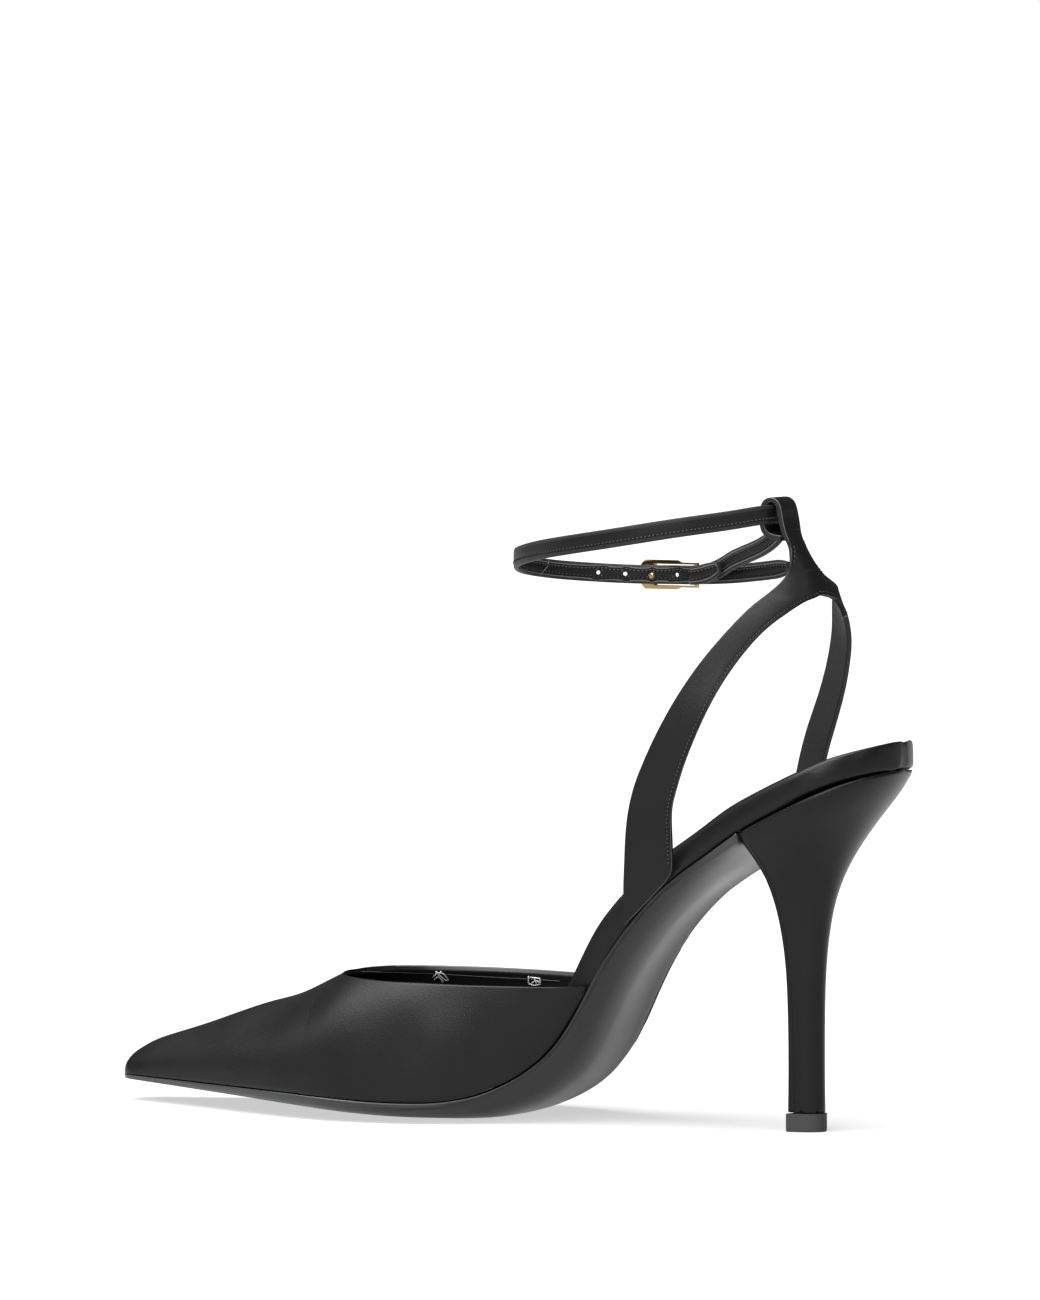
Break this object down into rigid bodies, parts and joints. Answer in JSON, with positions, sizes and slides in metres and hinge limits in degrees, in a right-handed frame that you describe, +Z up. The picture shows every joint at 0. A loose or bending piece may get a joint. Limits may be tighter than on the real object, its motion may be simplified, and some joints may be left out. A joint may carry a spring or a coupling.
{
  "type": "ankle strap pump",
  "caption": "Pointed high-heeled pump with an open waist, a two-legged back stay and a thin buckled ankle strap on a covered stiletto heel.",
  "frame": {"origin": "middle of the underside of the heel's top piece, on the floor", "axes": "+Z up, away from the floor; -X towards the toe and +X towards the heel's back; -Y towards the inner side of the foot and +Y towards the outer side, on a right shoe"},
  "size_m": [0.2444, 0.0751, 0.174],
  "materials": {
    "upper_leather": "smooth black calf leather, satin",
    "footbed_leather": "smooth black leather, satin",
    "heel_leather": "smooth black leather cover, satin",
    "sole_leather": "dark varnished leather, glossy",
    "tip_rubber": "hard black rubber, matt",
    "gold_metal": "polished pale gold plate"
  },
  "bodies": {
    "root": {"outsole": "sole_leather", "footbed": "footbed_leather", "vamp": "upper_leather", "heel": "heel_leather", "top_piece": "tip_rubber", "back_stay": "upper_leather", "ankle_strap": "upper_leather", "buckle": "gold_metal"}
  },
  "joints": []
}
